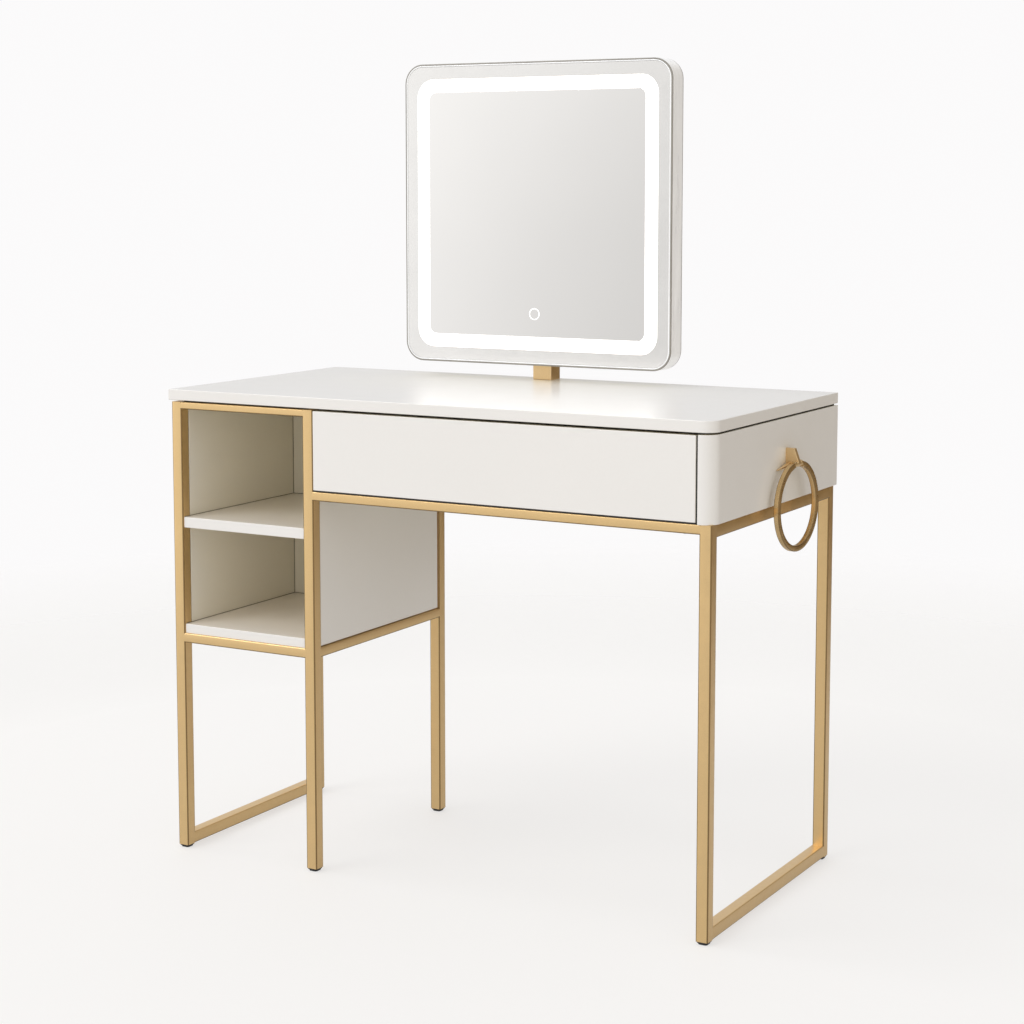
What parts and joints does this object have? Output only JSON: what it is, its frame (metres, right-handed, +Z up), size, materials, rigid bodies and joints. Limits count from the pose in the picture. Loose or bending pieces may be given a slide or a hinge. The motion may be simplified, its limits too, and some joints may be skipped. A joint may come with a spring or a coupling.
{
  "type": "vanity table with mirror",
  "caption": "Dressing table on a slim tube frame, with a shelf tower, a push-to-open drawer, a lit square mirror that tilts on a post, and a swing ring.",
  "frame": {"origin": "on the floor, under the middle of the object's outline at rest", "axes": "+X to the right as a person sits at the table, +Y to the back, +Z up"},
  "size_m": [1.027, 0.5, 1.342],
  "materials": {
    "gold_frame": "satin champagne gold powder coat",
    "gold_fitting": "satin champagne gold",
    "white_lacquer": "satin warm white lacquer on fibreboard",
    "drawer_board": "matt foil on particle board",
    "dark_batten": "black stained strip",
    "hardboard": "raw hardboard",
    "zinc_steel": "zinc plated",
    "black_plastic": "moulded",
    "mirror_housing": "fine satin",
    "mirror_shell": "fine textured",
    "mirror_glass": "silvered glass",
    "border_glass": "silvered glass",
    "light_diffuser": "frosted, lit",
    "white_board": "white solder mask",
    "green_board": "green solder mask"
  },
  "bodies": {
    "table": {"foot_glides": "black_plastic", "leg_left_front": "gold_frame", "leg_left_back": "gold_frame", "leg_tower_front": "gold_frame", "leg_tower_back": "gold_frame", "leg_right_front": "gold_frame", "leg_right_back": "gold_frame", "rail_floor_left": "gold_frame", "rail_floor_right": "gold_frame", "rail_drawer_front": "gold_frame", "rail_side_right": "gold_frame", "rail_tower_top": "gold_frame", "rail_tower_front": "gold_frame", "rail_tower_left": "gold_frame", "rail_tower_right": "gold_frame", "rail_tower_back": "gold_frame", "top_panel": "white_lacquer", "reveal_battens": "dark_batten", "tower_panel_left": "white_lacquer", "tower_panel_right": "white_lacquer", "tower_panel_back": "white_lacquer", "tower_shelf": "white_lacquer", "tower_floor": "white_lacquer", "side_panel_right": "white_lacquer", "bay_side_left": "white_lacquer", "back_apron": "white_lacquer", "runner_packer": "drawer_board", "push_latch": "black_plastic", "runner_fixed": "zinc_steel", "post": "gold_fitting", "post_foot": "zinc_steel", "post_head": "gold_fitting", "hinge_pin": "zinc_steel", "post_bolts": "zinc_steel", "ring_bracket": "gold_fitting", "ring_screws": "zinc_steel", "ring_pin": "gold_fitting"},
    "drawer": {"drawer_front": "white_lacquer", "drawer_side_left": "drawer_board", "drawer_side_right": "drawer_board", "drawer_back": "drawer_board", "drawer_bottom": "drawer_board", "runner_drawer": "zinc_steel"},
    "runner_slides": {"runner_middle": "zinc_steel"},
    "mirror": {"mirror_frame": "mirror_housing", "mirror_border": "border_glass", "light_band": "light_diffuser", "mirror_glass": "mirror_glass", "touch_mark": "light_diffuser", "mirror_backer": "hardboard", "led_board": "white_board", "led_driver": "black_plastic", "touch_sensor": "green_board", "mirror_back": "mirror_shell", "power_inlet": "black_plastic", "hinge_bracket": "gold_fitting"},
    "ring": {"swing_ring": "gold_fitting"}
  },
  "joints": [
    {"name": "drawer_slide", "type": "slide", "parent": "table", "child": "drawer", "axis": [0, -1, 0], "range_m": [-0.002, 0.3]},
    {"name": "runner_slide", "type": "slide", "parent": "table", "child": "runner_slides", "axis": [0, -1, 0], "range_m": [-0.001, 0.15]},
    {"name": "mirror_tilt", "type": "hinge", "parent": "table", "child": "mirror", "pos_m": [-0.04747, 0.223, 1.0795], "axis": [-1, 0, 0], "range_deg": [0, 15]},
    {"name": "ring_swing", "type": "hinge", "parent": "table", "child": "ring", "pos_m": [0.50453, 0.028, 0.698], "axis": [-0.0698, -0.9976, 0], "range_deg": [-7, 95]}
  ],
  "couplings": [
    {"joint": "runner_slide", "follows": "drawer_slide", "ratio": 0.5}
  ]
}
